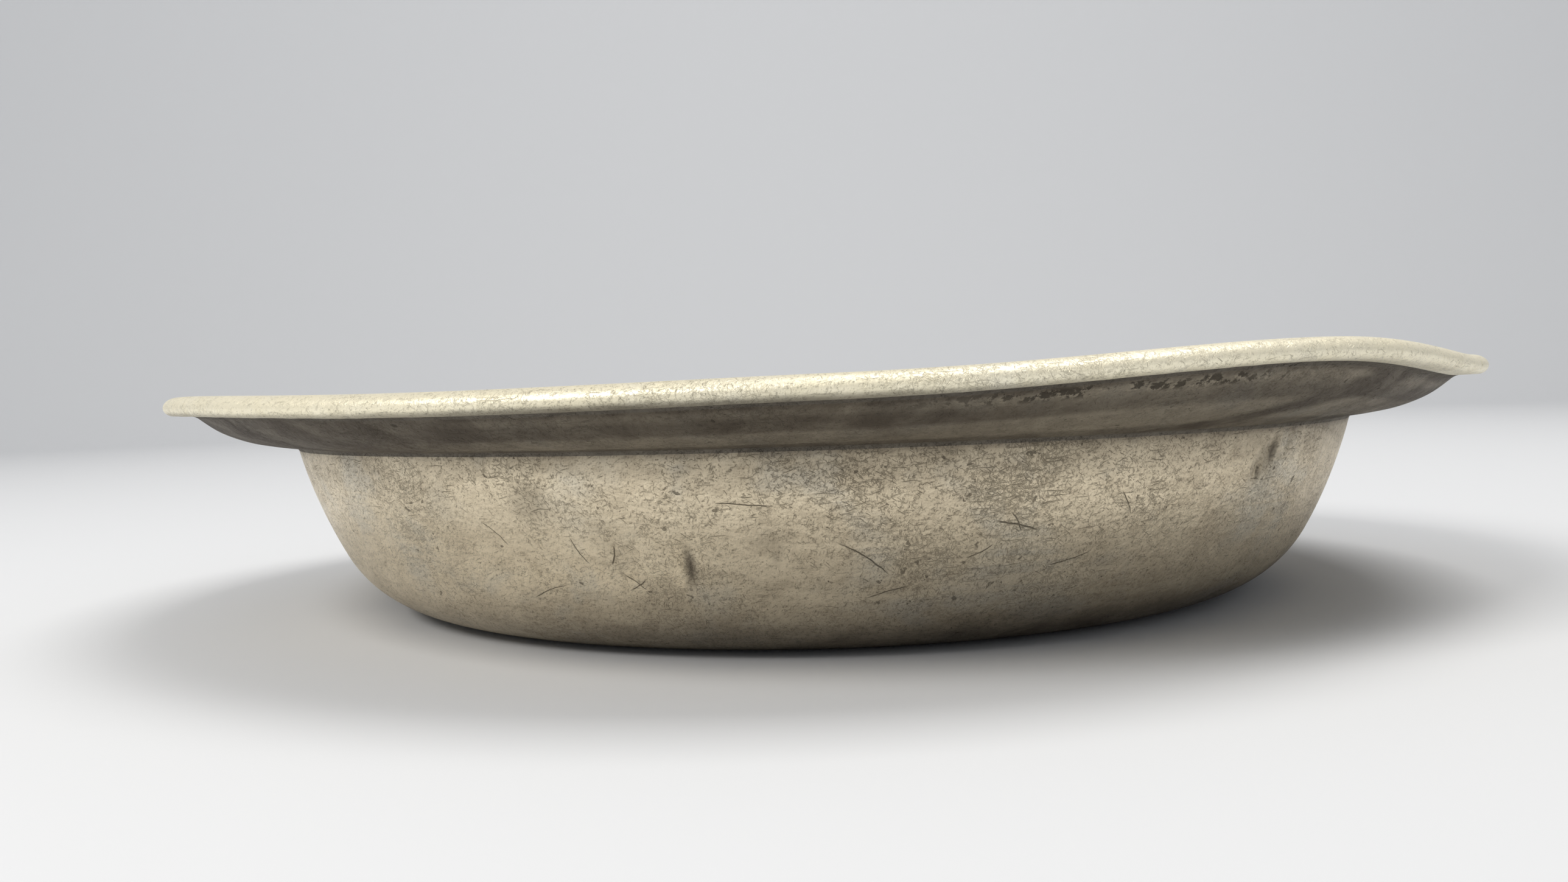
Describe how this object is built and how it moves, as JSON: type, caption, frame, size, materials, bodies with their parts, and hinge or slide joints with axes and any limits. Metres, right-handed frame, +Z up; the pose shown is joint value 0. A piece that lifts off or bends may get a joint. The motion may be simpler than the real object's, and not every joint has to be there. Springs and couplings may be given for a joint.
{
  "type": "paten plate",
  "caption": "Deep round pewter dish with a flat base, steep wall and a wide upturned rim, slightly bent, edged by a thick rounded moulding.",
  "frame": {"origin": "centre of the base's underside, on the dish's axis", "axes": "+Z up along the dish's axis, out of the open mouth; -Y toward the side seen in the picture; +X to that side's right"},
  "size_m": [0.33, 0.33, 0.0591],
  "materials": {
    "bowl_pewter": "satin, finely pitted, clouded grey and beige",
    "rim_pewter": "satin to semi-gloss, darker and pitted underneath",
    "edge_pewter": "satin, worn bright, fine pits and nicks",
    "wall_solder": "dull, dark with dirt",
    "edge_solder": "dull, dark with dirt"
  },
  "bodies": {
    "root": {"bowl": "bowl_pewter", "rim": "rim_pewter", "edge_moulding": "edge_pewter", "wall_seam": "wall_solder", "edge_seam": "edge_solder"}
  },
  "joints": []
}
